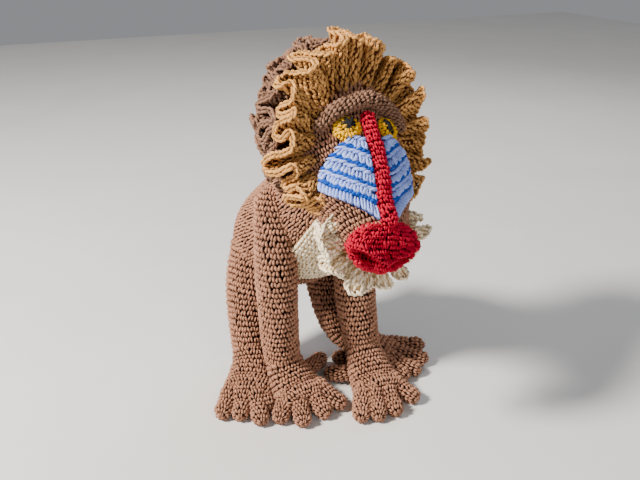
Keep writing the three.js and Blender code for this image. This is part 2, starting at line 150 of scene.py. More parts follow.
DIGITS = {
    "hand_right": {
        "thumb": ((-14, -25, 12), (4, -12, 8)),
        "index": ((-9, -40, 9), (-3, -56.5, 5.2)),
        "middle": ((-16, -44, 9), (-14.5, -60, 5)),
        "ring": ((-25, -45, 9), (-29.5, -62, 5)),
        "little": ((-32, -41, 9), (-40.5, -54, 5)),
    },
    "hand_left": {
        "thumb": ((19, -37, 11), (6, -28, 6.5)),
        "index": ((14.5, -55, 8.5), (5, -73, 5)),
        "middle": ((22, -58, 9), (15, -76, 5)),
        "ring": ((30, -58, 9), (27, -76, 5)),
        "little": ((38, -53, 9), (43, -69, 5)),
    },
    "foot_right": {
        "big": ((-43, -10, 9), (-27, -4, 5.2)),
        "toe_1": ((-45, -30, 8), (-44.5, -40, 5)),
        "toe_2": ((-49, -33, 9), (-52.5, -50.5, 5)),
        "toe_3": ((-57, -29, 9), (-62, -41, 5)),
        "toe_4": ((-63, -23, 9), (-71.5, -35.5, 5)),
    },
    "foot_left": {
        "big": ((33, -16, 9), (19, -13, 6.5)),
        "toe_1": ((43, -32, 8.5), (49, -46, 5)),
        "toe_2": ((48, -27, 9), (59.5, -43.5, 5)),
        "toe_3": ((54, -20, 9), (70, -35, 5.5)),
        "toe_4": ((58, -14, 9), (75.5, -21, 7)),
    },
}
TAIL = dict(
    path=[(0, 40, 94), (0, 50, 103), (0, 56, 114)],
    sections=[(7.5, 7.5), (6.5, 6.5), (5.5, 5.5)],
    side=(1, 0, 0),
    caps=(6, 5.5),
)
EYE = dict(step=0.3, angle=23, radius=6.4, depth=2.6)
RUMP = dict(step=-0.62, angle=50, half=(12, 13.5, 3))
CHEEK_OUTER = [(0.345, 20), (0.395, 36), (0.45, 52), (0.505, 66), (0.58, 74)]
CHEEK_INNER = [(0.37, 9.5), (0.5, 9.5), (0.64, 9.5), (0.8, 10.5), (0.99, 15)]
CHEEK_STRIPES = (0.175, 0.385, 0.595, 0.805)
CHEST_RIGHT = [(0.28, 180 - 50), (0.86, 180 - 40)]
CHEST_LEFT = [(0.28, 180 + 46), (0.86, 180 + 33)]
RUFFLES = {
    "mane_gold": dict(
        centre=(-1, -20, 0), tilt=17, lean=-4, sweep=156, inner=21,
        outer=(54, 46, 54), folds=18, frills=20, trim=0.88, swing=3.8, yarn="gold",
    ),
    "mane_brown_1": dict(
        centre=(-1, -5, 2), tilt=13, lean=8, sweep=152, inner=23,
        outer=(48, 44.5, 52), folds=17, frills=23, trim=0.9, swing=3.4, yarn="dark_brown",
    ),
    "mane_brown_2": dict(
        centre=(0, 8, 2), tilt=7, lean=30, sweep=146, inner=22,
        outer=(45, 42, 45), folds=15, frills=21, trim=0.95, swing=3.4, yarn="dark_brown",
    ),
    "mane_brown_3": dict(
        centre=(0, 19, 1), tilt=0, lean=52, sweep=140, inner=14,
        outer=(37, 36, 37), folds=11, frills=15, trim=0.95, swing=3.0, yarn="dark_brown",
    ),
    "beard": dict(
        centre=(0, -43, -38), tilt=184, lean=6, sweep=100, inner=12,
        outer=(38, 34, 34), folds=10, frills=11, trim=0.8, swing=3.0, yarn="cream",
    ),
}

# Surfaces


def unit(v):
    return v / np.maximum(np.linalg.norm(v, axis=-1, keepdims=True), 1e-9)


def smoothstep(x, low, high):
    t = np.clip((x - low) / (high - low), 0, 1)
    return t * t * (3 - 2 * t)


def ripple(u, times, turn):
    """A wave that runs so many times along a frill."""
    return np.sin(2 * math.pi * times * u + turn)


def catmull(points, t):
    """A smooth curve through the points, for t from 0 to 1."""
    p = np.asarray(points, float)
    n = len(p) - 1
    t = np.clip(np.asarray(t, float), 0, 1) * n
    i = np.minimum(t.astype(int), n - 1)
    f = (t - i)[..., None]
    ext = np.vstack([2 * p[0] - p[1], p, 2 * p[-1] - p[-2]])
    a, b, c, d = ext[i], ext[i + 1], ext[i + 2], ext[i + 3]
    rest = 2 * a - 5 * b + 4 * c - d + f * (3 * b - a - 3 * c + d)
    return b + 0.5 * f * (c - a + f * rest)


def head_pose(p):
    cy, sy = math.cos(HEAD_YAW), math.sin(HEAD_YAW)
    cr, sr = math.cos(HEAD_ROLL), math.sin(HEAD_ROLL)
    yaw = np.array(((cy, -sy, 0), (sy, cy, 0), (0, 0, 1)))
    roll = np.array(((cr, 0, sr), (0, 1, 0), (-sr, 0, cr)))
    return HEAD_AT + p @ (yaw @ roll).T


def as_is(p):
    return p


class Gridded:
    """A closed skin read from rings of points, from pole to pole, with even lengths round and along."""

    SPOKES = 96

    def __init__(self, place=as_is):
        self.place = place
        angles = np.linspace(0, 2 * math.pi, self.SPOKES + 1)
        rings = np.arange(self.ring_count())
        grid = self.skin(*np.meshgrid(rings, angles, indexing="ij"), 0.0)
        along = np.linalg.norm(np.diff(grid, axis=0), axis=2).mean(1)
        self.arc = np.concatenate([[0], np.cumsum(along)])
        self.length = self.arc[-1]
        step = np.linalg.norm(np.diff(grid, axis=1), axis=2)
        self.girth = step.sum(1)
        even = np.linspace(0, 1, self.SPOKES + 1)
        self.angle_of = np.empty((len(rings), self.SPOKES + 1))
        for i, ring in enumerate(step):
            run = np.concatenate([[0], np.cumsum(ring)])
            share = run / run[-1] if run[-1] > 1e-3 else even
            self.angle_of[i] = np.interp(even, share, angles)

    def girth_at(self, s):
        return float(np.interp(s, self.arc, self.girth))

    def spot(self, a, s, h):
        a, s, h = (np.asarray(x, float) for x in np.broadcast_arrays(a, s, h))
        over = (s < 0) | (s > self.length)
        s = np.where(s < 0, -s, np.where(s > self.length, 2 * self.length - s, s))
        a = np.where(over, a + 0.5, a)
        whole = np.floor(a)
        k = (a - whole) * self.SPOKES
        ring = np.interp(s, self.arc, np.arange(len(self.arc)))
        i = np.minimum(ring.astype(int), len(self.arc) - 2)
        j = np.minimum(k.astype(int), self.SPOKES - 1)
        f, g = ring - i, k - j
        low = self.angle_of[i, j] * (1 - g) + self.angle_of[i, j + 1] * g
        high = self.angle_of[i + 1, j] * (1 - g) + self.angle_of[i + 1, j + 1] * g
        angle = low * (1 - f) + high * f
        return self.place(self.skin(ring, angle, h))

    def chart(self, a, s):
        return np.stack([a % 1, np.clip(s / self.length, 0, 1)], -1)

    def core(self, h, around=48, along=None):
        """The cloth under the stitches, in the painted shade colour, as corners, quads and their places on
        the unwrap.
        """
        rows = along or max(8, int(self.length / 3))
        a, s = np.meshgrid(np.arange(around + 1) / around, np.linspace(0, 1, rows + 1) * self.length)
        corners = self.spot(a, s, h)
        return grid_mesh(corners, self.chart(np.clip(a, 0, 0.9999), s))


def grid_mesh(corners, chart):
    rows, columns = corners.shape[:2]
    index = np.arange(rows * columns).reshape(rows, columns)
    quads = np.stack([index[:-1, :-1], index[:-1, 1:], index[1:, 1:], index[1:, :-1]], -1)
    return corners.reshape(-1, 3), quads.reshape(-1, 4), chart.reshape(-1, 2)


def slab(surface, u, v, low, high):
    """A closed sheet over a grid of places on a surface, between two heights."""
    top, quads, chart = grid_mesh(surface.spot(u, v, high), surface.chart(u, v))
    bottom, _, _ = grid_mesh(surface.spot(u, v, low), surface.chart(u, v))
    n = len(top)
    index = np.arange(n).reshape(u.shape)
    rim = np.concatenate([index[0], index[1:, -1], index[-1, -2::-1], index[-2:0:-1, 0]])
    after = np.roll(rim, -1)
    wall = np.stack([rim, rim + n, after + n, after], -1)
    return (
        np.vstack([top, bottom]),
        np.vstack([quads, quads[:, ::-1] + n, wall]),
        np.vstack([chart, chart]),
    )


class Stuffed(Gridded):
    """An oval section swept along a path and closed by two rounded caps."""

    CAP_RINGS = 24
    PATH_RINGS = 110

    def __init__(self, path, sections, side, caps, place=as_is):
        t = np.linspace(0, 1, self.PATH_RINGS)
        centre = catmull(path, t)
        ahead = unit(catmull(path, t + 1e-3) - catmull(path, t - 1e-3))
        side = np.asarray(side, float)
        across = unit(side - ahead * (ahead @ side)[:, None])
        top = np.cross(ahead, across)
        half = catmull(sections, t)
        cap = np.linspace(0, math.pi / 2, self.CAP_RINGS + 1)[1:]
        body = np.column_stack([centre, ahead, across, top, half])
        turn = np.concatenate([-cap[::-1], np.zeros(len(t)), cap])
        table = np.vstack([body[[0] * len(cap)], body, body[[-1] * len(cap)]])
        size = np.concatenate([[caps[0]] * len(cap), np.zeros(len(t)), [caps[1]] * len(cap)])
        self.table = np.column_stack([table, turn, size])
        super().__init__(place)

    def ring_count(self):
        return len(self.table)

    def skin(self, ring, angle, h):
        i = np.minimum(ring.astype(int), len(self.table) - 2)
        f = (ring - i)[..., None]
        row = self.table[i] * (1 - f) + self.table[i + 1] * f
        centre, ahead, across, top = (row[..., k : k + 3] for k in (0, 3, 6, 9))
        wide, deep, turn, cap = (row[..., k] for k in (12, 13, 14, 15))
        push = np.sin(turn) * (cap + h)
        x = np.cos(turn) * (wide + h) * np.sin(angle)
        y = np.cos(turn) * (deep + h) * np.cos(angle)
        return centre + push[..., None] * ahead + x[..., None] * across + y[..., None] * top

    def point(self, step, angle, grow=0.0):
        """The CAD's own way in: a step along the path, where under 0 and over 1 lie on the caps."""
        step = np.asarray(step, float)
        rings = [0, self.CAP_RINGS, self.CAP_RINGS + self.PATH_RINGS - 1, len(self.table) - 1]
        ring = np.interp(step, [-1, 0, 1, 2], rings)
        return self.skin(ring, np.asarray(angle, float), grow)


def ball(centre, axis, side, half, place=as_is):
    """A flattened ball whose poles lie on the axis."""
    c, d = np.asarray(centre, float), unit(np.asarray(axis, float))
    wide, deep, high = half
    return Stuffed([c - d * 0.01, c + d * 0.01], [(wide, deep)] * 2, side, (high, high), place)


def onto(surface, step, angle):
    """Where a step and angle lie on a swept skin: x goes round it, z leaves it, and the place."""
    here = surface.point(step, angle)
    x = unit(surface.point(step, angle + 0.05) - surface.point(step, angle - 0.05))
    along = surface.point(step + 0.02, angle) - surface.point(step - 0.02, angle)
    z = unit(np.cross(x, along))
    if z @ (here - surface.point(step, angle, -1.0)) < 0:
        z = -z
    return x, np.cross(z, x), z, here


class Nose(Gridded):
    """A wide soft nose whose upper flap hangs over two nostril hollows and a round lower lip."""

    CENTRE = np.array((0, -57.5, -46.5))
    HALF = (21.7, 6.6, 13.0)
    DROOP = math.radians(6)
    RINGS = 60

    def ring_count(self):
        return self.RINGS

    def skin(self, ring, angle, h):
        lift = (ring / (self.RINGS - 1) - 0.5) * math.pi
        level, flat = np.sin(lift), np.maximum(np.cos(lift), 0)
        sine, cosine = np.sin(angle), np.cos(angle)
        slim = 1 - 0.16 * smoothstep(-level, 0.1, 0.9)
        x = (self.HALF[0] + h) * np.sign(sine) * np.abs(sine) ** 0.85 * flat**0.62 * slim
        y = (self.HALF[1] + h) * cosine * flat**0.8
        side = np.abs(x) / self.HALF[0]
        z = (self.HALF[2] + h) * level * (1 - 0.14 * side**2)
        front = np.clip(-cosine, 0, 1) ** 0.6
        flap = -7.0 + 0.42 * np.abs(x)
        under = np.exp(-(((z - flap + 2.6) / 2.0) ** 2))
        nostril = np.exp(-(((np.abs(x) - 11.5) / 4.4) ** 2))
        brim = np.exp(-(((z - flap - 1.4) / 1.9) ** 2))
        lip = np.exp(-((x / 7.0) ** 2) - ((z + 10.5) / 3.0) ** 2)
        lumps = np.sin(5 * angle + 2.1 * lift) * np.sin(4.3 * lift + 1.7 * angle)
        y = y + front * (under * (2.2 + 6.6 * nostril) - 3.0 * brim - 2.6 * lip - 0.5 * lumps)
        cos_droop, sin_droop = math.cos(self.DROOP), math.sin(self.DROOP)
        return self.CENTRE + np.stack([x * cos_droop + z * sin_droop, y, z * cos_droop - x * sin_droop], -1)


# How the real folds grow deeper, curl at the edge, swell into loops and lean over.
RUFFLE_DEPTH = 1.75
RUFFLE_CURL = 1.6
RUFFLE_LOOP = 0.125
RUFFLE_SHEAR = 0.45


class Ruffle:
    """A pleated frill in the head's pose, from its root at v = 0 to its free edge at v = 1."""

    FINE = 1201
    FOLD_SPANS = 12

    def __init__(self, spec, rng):
        self.spec = spec
        self.wave = rng.uniform(0, 2 * math.pi, 8)
        tilt = math.radians(spec["tilt"])
        self.up = np.array((0, math.sin(tilt), math.cos(tilt)))
        self.right = np.array((1.0, 0, 0))
        self.front = np.cross(self.right, self.up)
        self.lean = math.radians(spec["lean"])
        self.fine = np.linspace(0, 1, self.FINE)

    def middle(self, u, v, plain=False):
        """The middle of the cloth, with the CAD's plain folds or with the real ones."""
        spec = self.spec
        wild = 0 if plain else 1
        top, sideways, end = spec["outer"]
        angle = math.radians(spec["sweep"]) * (2 * u - 1)
        c, s = np.cos(angle), np.sin(angle)
        outer = sideways + (np.where(c > 0, top, end) - sideways) * c**2
        taper = 1 - 0.32 * smoothstep(np.abs(2 * u - 1), 0.86, 1)
        folds = spec["folds"] if plain else spec["frills"]
        w = self.wave
        sweep_share = spec["sweep"] / 180
        turn = 2 * math.pi * folds * u
        # The spacing and the depth of the real folds vary along the frill.
        drift = 1.1 * ripple(u, 2.3, w[0]) + 0.7 * ripple(u, 5.7, w[1])
        uneven = 0.3 * np.sin(0.5 * turn + w[7])
        drawn = 0.26 * ripple(u, 3.9, w[2]) + 0.25 * ripple(u, 9.7, w[3])
        size = 1 + wild * (uneven + drawn)
        phase = turn + wild * drift
        wave = np.cos(phase)
        # The free edge is ragged.
        tip = smoothstep(v, 0.45, 1.0)
        reach = (outer - spec["inner"]) * taper * v
        ragged = 0.06 * ripple(u, 6.1, w[4]) - 0.07 * wave
        ragged = ragged + 0.08 * ripple(u, 13.3, w[6])
        reach = reach * (1 + wild * tip * ragged) * (spec["trim"] if wild else 1)
        # The cloth swings to and fro across the frill, and its edge curls.
        grown = 1 + wild * (RUFFLE_DEPTH - 1) * smoothstep(v, 0.0, 0.7)
        rooted = 0.15 if plain else 0.4
        swing = spec["swing"] * (rooted + (1 - rooted) * v) * wave * size * grown
        sway = wild * v * v * 1.4 * np.sin(2 * math.pi * 4.4 * u + w[5] + 2 * v)
        curl = wild * tip * RUFFLE_CURL * np.cos(2 * phase + 1.3 * np.sin(7 * u + w[6]) + 1.5 * v)
        # The folds swell into loops and lean along the frill.
        loop = 2 * math.pi * np.maximum(reach + spec["inner"], 1) * sweep_share / folds
        around = wild * v * loop * RUFFLE_LOOP * np.sin(2 * phase)
        around = around + wild * tip * 1.2 * np.sin(phase * 1.5 + 9 * u + w[7])
        around = around + wild * RUFFLE_SHEAR * swing * ripple(u, 1.3, w[5])
        out = c[..., None] * self.up + s[..., None] * self.right
        beside = c[..., None] * self.right - s[..., None] * self.up
        along = out * math.cos(self.lean) - self.front * math.sin(self.lean)
        facing = out * math.sin(self.lean) + self.front * math.cos(self.lean)
        return (
            np.asarray(spec["centre"], float)
            + out * spec["inner"]
            + along * reach[..., None]
            + facing * (swing + sway + curl)[..., None]
            + beside * around[..., None]
        )

    def row(self, v):
        """The length of a row and the table that spaces its stitches evenly."""
        points = self.middle(self.fine, np.full_like(self.fine, v))
        run = np.concatenate([[0], np.cumsum(np.linalg.norm(np.diff(points, axis=0), axis=1))])
        return run[-1], run / run[-1]

    def spot(self, u, v, h, plain=False):
        u, v, h = (np.asarray(x, float) for x in np.broadcast_arrays(u, v, h))
        u = np.clip(u, 0, 1)
        here = self.middle(u, v, plain)
        across = self.middle(u + 1e-3, v, plain) - self.middle(u - 1e-3, v, plain)
        down = self.middle(u, v + 1e-2, plain) - self.middle(u, v - 1e-2, plain)
        normal = unit(np.cross(across, down))
        return head_pose(here + normal * h[..., None])

    def chart(self, u, v):
        return np.stack([np.clip(u, 0, 1), np.clip(v, 0, 1)], -1)

    def core(self, half):
        """A thin closed cloth in the middle of the frill, in the painted shade colour."""
        reach, along = 0.96, 9
        across = self.spec["frills"] * self.FOLD_SPANS
        u, v = np.meshgrid(np.linspace(0, 1, across + 1), np.linspace(0, reach, along + 1))
        return slab(self, u, v, -half, half)


class Patch:
    """A part of a swept skin between two lines, read by u across it and v down it."""

    SPANS = 14

    def __init__(self, base, inner, outer, sign, place=head_pose):
        self.base, self.inner, self.outer = base, np.array(inner, float), np.array(outer, float)
        self.sign, self.place = sign, place

    def lines(self, u, v):
        scaled = np.clip(v, 0, 1) * (len(self.inner) - 1)
        i = np.minimum(scaled.astype(int), len(self.inner) - 2)
        f = (scaled - i)[..., None]
        inner = self.inner[i] * (1 - f) + self.inner[i + 1] * f
        outer = self.outer[i] * (1 - f) + self.outer[i + 1] * f
        return inner + (outer - inner) * u[..., None]

    def spot(self, u, v, h):
        u, v, h = (np.asarray(x, float) for x in np.broadcast_arrays(u, v, h))
        where = self.lines(u, v)
        angle = self.sign * np.radians(where[..., 1])
        return self.place(self.base.point(where[..., 0], angle, h))

    def chart(self, u, v):
        return np.stack([np.clip(u, 0, 1), np.clip(v, 0, 1)], -1)

    def width(self, v):
        u = np.linspace(0, 1, 30)
        points = self.spot(u, np.full_like(u, v), 0.0)
        return float(np.linalg.norm(np.diff(points, axis=0), axis=1).sum())

    def height(self):
        v = np.linspace(0, 1, 30)
        points = self.spot(np.full_like(v, 0.5), v, 0.0)
        return float(np.linalg.norm(np.diff(points, axis=0), axis=1).sum())

    def core(self, low, high, v0=0.0, v1=1.0, along=14):
        """A closed cloth under the stitches, between two heights, in the painted shade colour."""
        u, v = np.meshgrid(np.linspace(0, 1, self.SPANS + 1), np.linspace(v0, v1, along + 1))
        return slab(self, u, v, low, high)


# Stitches


class Form:
    """One stitch, made of strands: corners in stitch widths, row heights and millimetres."""

    def __init__(self, cell, strands):
        self.cell = cell
        corners, quads, twist, depth = [], [], [], []
        for c, q, t, d in strands:
            quads.append(q + sum(len(x) for x in corners))
            corners.append(c)
            twist.append(t)
            depth.append(d)
        corners = np.vstack(corners)
        self.x, self.y = corners[:, 0] / cell[0], corners[:, 1] / cell[1]
        self.z = corners[:, 2]
        self.quads = np.vstack(quads)
        self.twist = np.vstack(twist)
        # Each corner's share of the lit colour; the rest is painted shade.
        self.depth = np.concatenate(depth)


PLY_RELIEF = 0.1
PLY_TURN = 0.9


def strand(points, radii, rings=6, sides=6, low=-1.7, high=0.3):
    """A closed, slightly twisted length of yarn through the points, in millimetres."""
    t = np.linspace(0, 1, rings)
    middle = catmull(points, t)
    radius = catmull(np.array(radii, float)[:, None], t)[:, 0]
    ahead = unit(catmull(points, t + 0.02) - catmull(points, t - 0.02))
    lift = np.array((0.0, 0.0, 1.0))
    across = unit(np.cross(ahead, lift) + 1e-6)
    top = np.cross(across, ahead)
    around = np.arange(sides) * 2 * math.pi / sides
    run = np.concatenate([[0], np.cumsum(np.linalg.norm(np.diff(middle, axis=0), axis=1))])
    corners = []
    for k in range(rings):
        lobes = 1 + PLY_RELIEF * np.cos(2 * (around - k * 2 * math.pi / sides * PLY_TURN))
        r = radius[k] * lobes
        sideways, upwards = np.outer(r * np.cos(around), across[k]), np.outer(r * np.sin(around), top[k])
        corners.append(middle[k] + sideways + upwards)
    corners = np.vstack(corners)
    quads = []
    for k in range(rings - 1):
        for j in range(sides):
            low_a, low_b = k * sides + j, k * sides + (j + 1) % sides
            quads.append((low_a, low_a + sides, low_b + sides, low_b))
    last = (rings - 1) * sides
    for j in range(1, sides - 2, 2):
        quads.append((0, j, j + 1, j + 2))
        quads.append((last, last + j + 2, last + j + 1, last + j))
    twist = np.column_stack([np.repeat(run, sides), np.tile(np.arange(sides) / sides, rings)])
    # Painted shade: 0 where the strand sinks to the height low or below, rising to 1, the lit colour, at
    # high and above.
    depth = smoothstep(corners[:, 2], low, high)
    return corners, np.array(quads), twist, depth


def mirrored(points):
    return [(-x, y, z) for x, y, z in points]


def vee(cell, fat=1.0, lean=0.0, sink=1.2, dip=1.0, rings=6):
    """A single crochet: two legs that rise from one hole and lean apart."""
    w, p = cell
    path = [
        (0.12 * w, -0.64 * p, -1.6 * dip - sink),
        (0.17 * w, -0.36 * p, -0.1 - sink),
        (0.24 * w, -0.04 * p, 1.05 - sink),
        (0.31 * w, 0.26 * p, 0.75 - sink),
        (0.34 * w, 0.60 * p, -1.3 * dip - sink),
    ]
    radii = [share * w * fat for share in (0.08, 0.175, 0.2, 0.185, 0.08)]
    legs = []
    for side in (path, mirrored(path)):
        leaned = [(x + lean * y, y, z) for x, y, z in side]
        legs.append(strand(leaned, radii, rings=rings))
    return Form(cell, legs)


TOOTH_FAT = 1.12
TOOTH_LIFT = 0.8


def tooth(cell):
    """A round-ended loop that hangs from its row."""
    w, p = cell
    half = [(-0.20 * w, -0.60 * p, -0.9), (-0.27 * w, -0.25 * p, 0.6), (-0.24 * w, 0.16 * p, 1.15)]
    path = [*half, (0, 0.46 * p, 0.8), *mirrored(half)[::-1]]
    r = 0.23 * w * TOOTH_FAT
    radii = [r * 0.6, r, r * 1.05, r, r * 1.05, r, r * 0.6]
    lifted = [(x, y, z + TOOTH_LIFT) for x, y, z in path]
    return Form(cell, [strand(lifted, radii, rings=11, low=TOOTH_LIFT - 0.9, high=TOOTH_LIFT + 0.9)])


HAIR = 0.04
HAIR_TURNS = (0.4, 1.5, 2.5, 3.6, 4.6, 5.7)


def hair(cell, turn, length):
    """A loose fibre that lifts off the yarn and bends over."""
    t = np.array((0, 0.3, 0.65, 1.0))
    x = length * (t * math.cos(turn) - 0.5 * t**2 * math.sin(turn))
    y = length * (t * math.sin(turn) + 0.5 * t**2 * math.cos(turn))
    z = length * 0.5 * np.sin(2.3 * t)
    form = Form(cell, [strand(list(zip(x, y, z)), [HAIR] * 4, rings=4, sides=4)])
    form.depth = np.ones_like(form.depth)
    return form


# The lit share kept in the middle of a frill's cloth, where the painted shade is deepest.
FRILL_SHADE = 0.35


def two_sided(form, high):
    """Paints shade on a form towards the middle of the cloth, as it is seen from both sides."""
    form.depth = FRILL_SHADE + (1 - FRILL_SHADE) * smoothstep(np.abs(form.z), 0.0, high)
    return form


def frill_stitch(cell):
    """A stitch of a frill: two legs that lean apart, one on each face, seen from both sides."""
    w, p = cell
    strands = []
    for side in (-1, 1):
        path = [
            (side * 0.10 * w, -0.66 * p, -side * 0.7),
            (side * 0.17 * w, -0.32 * p, side * 0.05),
            (side * 0.25 * w, 0.04 * p, side * 0.5),
            (side * 0.31 * w, 0.36 * p, side * 0.3),
            (side * 0.29 * w, 0.70 * p, -side * 0.7),
        ]
        r = 0.235 * w
        strands.append(strand(path, [r * 0.55, r, r * 1.08, r, r * 0.5], rings=5))
    return two_sided(Form(cell, strands), high=1.15)


def edging(cell):
    """A link of the chain that edges a frill: one strand on each face, leaning over the edge."""
    w = cell[0]
    rise, spread = 1.3, 0.95
    strands = []
    for sign in (-1, 1):
        path = [
            (-0.70 * w, -0.7, sign * spread * 0.3),
            (-0.42 * w, 0.2, sign * spread * 0.9),
            (-0.05 * w, rise * 0.9, sign * spread * 1.15),
            (0.33 * w, rise, sign * spread * 0.75),
            (0.66 * w, -0.2, sign * spread * 0.15),
        ]
        r = 0.30 * w
        strands.append(strand(path, [r * 0.5, r, r * 1.05, r, r * 0.5]))
    return two_sided(Form(cell, strands), high=1.3)


def slant(cell, fat):
    """A short strand laid across a stripe, overlapping the next."""
    w, p = cell
    path = [
        (-0.95 * w, -0.5 * p, -0.7),
        (-0.4 * w, -0.22 * p, 0.4),
        (0.4 * w, 0.22 * p, 0.5),
        (0.95 * w, 0.5 * p, -0.6),
    ]
    r = 0.33 * p * fat
    return Form(cell, [strand(path, [r * 0.7, r, r, r * 0.7], low=-0.7, high=0.8)])


def right_handed(surface, a, s, da, ds):
    """Whether round, along and out make a right-handed set on this surface."""
    if not len(a):
        return True
    here = surface.spot(a, s, 0.0)
    x = surface.spot(a + da * 0.2, s, 0.0) - here
    y = surface.spot(a, s + ds * 0.2, 0.0) - here
    z = surface.spot(a, s, 0.5) - here
    return np.sum(np.cross(x, y) * z) > 0


# How much stitches differ: wider, skewed, puffed in mm, shifted aside, shifted up and taller.
STITCH_SPREADS = (0.05, 0.07, 0.11, 0.035, 0.045, 0.04)
BAKE_PATCH = 0.0015
CHART_MARGIN = 0.003


def inset(chart):
    """Keeps places on the unwrap off its edges."""
    return chart * (1 - 2 * CHART_MARGIN) + CHART_MARGIN


class Batch:
    """Many stitches of one form laid on a surface."""

    def __init__(self, form, surface, roots, rng, rough):
        a, s, da, ds = (np.asarray(x, float)[:, None] for x in roots)
        n = len(a)
        shifts = [rough * rng.normal(0, spread, (n, 1)) for spread in STITCH_SPREADS]
        wider, skew, puff, side, up, taller = shifts
        x = form.x * (1 + wider) + form.y * skew + side
        y = form.y * (1 + taller) + up
        z = form.z + puff
        self.corners = surface.spot(a + x * da, s + y * ds, z)
        outwards = right_handed(surface, a[:, 0], s[:, 0], da[:, 0], ds[:, 0])
        self.quads = form.quads if outwards else form.quads[:, ::-1]
        self.twist = np.broadcast_to(form.twist, (n, *form.twist.shape))
        self.depth = np.broadcast_to(form.depth, (n, len(form.depth)))
        self.tone = np.broadcast_to(rng.uniform(0, 1, (n, 1)), (n, len(form.depth)))
        patch = np.stack([form.x, form.y], -1) * BAKE_PATCH
        self.chart = np.clip(inset(surface.chart(a[:, 0], s[:, 0]))[:, None] + patch, 0, 1)


def near(points, node, reach):
    """Which points lie close to a CAD node, which has been cut away where others hide it."""
    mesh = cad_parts[node].data
    tree = BVHTree.FromPolygons([v.co[:] for v in mesh.vertices], [p.vertices[:] for p in mesh.polygons])
    spots = (points + SHIFT) * MM
    return np.array([tree.find_nearest(p, reach * MM)[0] is not None for p in spots], bool)


def beneath(points, patch, reach):
    """Which points lie under a patch, well inside its hem."""
    inside = np.linspace(HEM, 1 - HEM, 25)
    u, v = np.meshgrid(inside, inside)
    corners, quads, _ = grid_mesh(patch.spot(u, v, 0.0), patch.chart(u, v))
    tree = BVHTree.FromPolygons([tuple(p) for p in corners], [tuple(q) for q in quads.tolist()])
    return np.array([tree.find_nearest(Vector(p), reach)[0] is not None for p in points], bool)


WIDTH_SLACK = 0.09


def rounds(surface, cell, start, stop, drift):
    """The roots of stitches worked in rounds from pole to pole."""
    width, height = cell
    rows = max(2, round(surface.length * (stop - start) / height))
    ds = surface.length * (stop - start) / rows
    roots, count, offset = [], 0, 0.0
    for k in range(rows):
        s = surface.length * start + (k + 0.5) * ds
        girth = surface.girth_at(s)
        if not count or abs(girth / count - width) > WIDTH_SLACK * width:
            count = max(4, round(girth / width))
        offset += drift / count
        a = (np.arange(count) + 0.5) / count + offset
        roots.append(np.column_stack([a, np.full(count, s), np.full(count, 1 / count), np.full(count, ds)]))
    return np.vstack(roots)


# Meshes


def encloses(points, quads):
    """Whether a closed mesh's faces point outwards."""
    a, b, c, d = (points[quads[:, k]] for k in range(4))
    return np.sum(np.cross(b, c) * a) + np.sum(np.cross(c, d) * a) > 0


def make_mesh(name, cores, batches):
    corners, quads, chart, twist, depth, tone = [], [], [], [], [], []
    total = 0
    for points, faces, places in cores:
        corners.append(points)
        quads.append((faces if encloses(points, faces) else faces[:, ::-1]) + total)
        chart.append(inset(places))
        twist.append(np.zeros((len(points), 2)))
        # The cloth under the stitches takes the painted shade colour all over, so the gaps between stitches
        # look like shadow.
        depth.append(np.zeros(len(points)))
        tone.append(np.full(len(points), 0.5))
        total += len(points)
    for b in batches:
        n, k = b.corners.shape[:2]
        if not n:
            continue
        corners.append(b.corners.reshape(-1, 3))
        step = (np.arange(n) * k)[:, None, None]
        quads.append((b.quads[None] + step).reshape(-1, 4) + total)
        chart.append(b.chart.reshape(-1, 2))
        twist.append(b.twist.reshape(-1, 2))
        depth.append(b.depth.reshape(-1))
        tone.append(b.tone.reshape(-1))
        total += n * k
    corners = (np.vstack(corners) + SHIFT) * MM
    corners[:, 2] = np.maximum(corners[:, 2], 0.0)
    quads = np.vstack(quads)
    mesh = bpy.data.meshes.new(name)
    mesh.vertices.add(len(corners))
    mesh.vertices.foreach_set("co", corners.astype(np.float32).ravel())
    mesh.loops.add(quads.size)
    mesh.loops.foreach_set("vertex_index", quads.astype(np.int32).ravel())
    mesh.polygons.add(len(quads))
    mesh.polygons.foreach_set("loop_start", np.arange(0, quads.size, 4, dtype=np.int32))
    mesh.update(calc_edges=True)
    mesh.validate()
    mesh.polygons.foreach_set("use_smooth", np.ones(len(mesh.polygons), bool))
    corner_of = np.empty(len(mesh.loops), np.int32)
    mesh.loops.foreach_get("vertex_index", corner_of)
    for layer, values in (("OFBake", np.vstack(chart)), ("twist", np.vstack(twist))):
        uv = mesh.uv_layers.new(name=layer)
        uv.data.foreach_set("uv", values[corner_of].astype(np.float32).ravel())
    # depth is each corner's painted shade share, from 0 (shade colour) to 1 (lit colour); tone is each
    # stitch's own random tone.
    for layer, values in (("depth", depth), ("tone", tone)):
        attribute = mesh.attributes.new(layer, "FLOAT", "POINT")
        attribute.data.foreach_set("value", np.concatenate(values).astype(np.float32))
    return mesh


def add_piece(name, yarn, nodes, cores, batches):
    """Adds a yarn piece that stands for CAD nodes."""
    name = f"{name}_knit"
    mesh = make_mesh(name, cores, batches)
    mesh.materials.append(YARNS[yarn])
    piece = bpy.data.objects.new(name, mesh)
    bpy.context.scene.collection.objects.link(piece)
    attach(piece, "root")
    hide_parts(*nodes)


# Yarns


def linear(code):
    """A colour written as a hex code, as linear light."""
    parts = [((code >> shift) & 255) / 255 for shift in (16, 8, 0)]
    return [x / 12.92 if x <= 0.04045 else ((x + 0.055) / 1.055) ** 2.4 for x in parts]


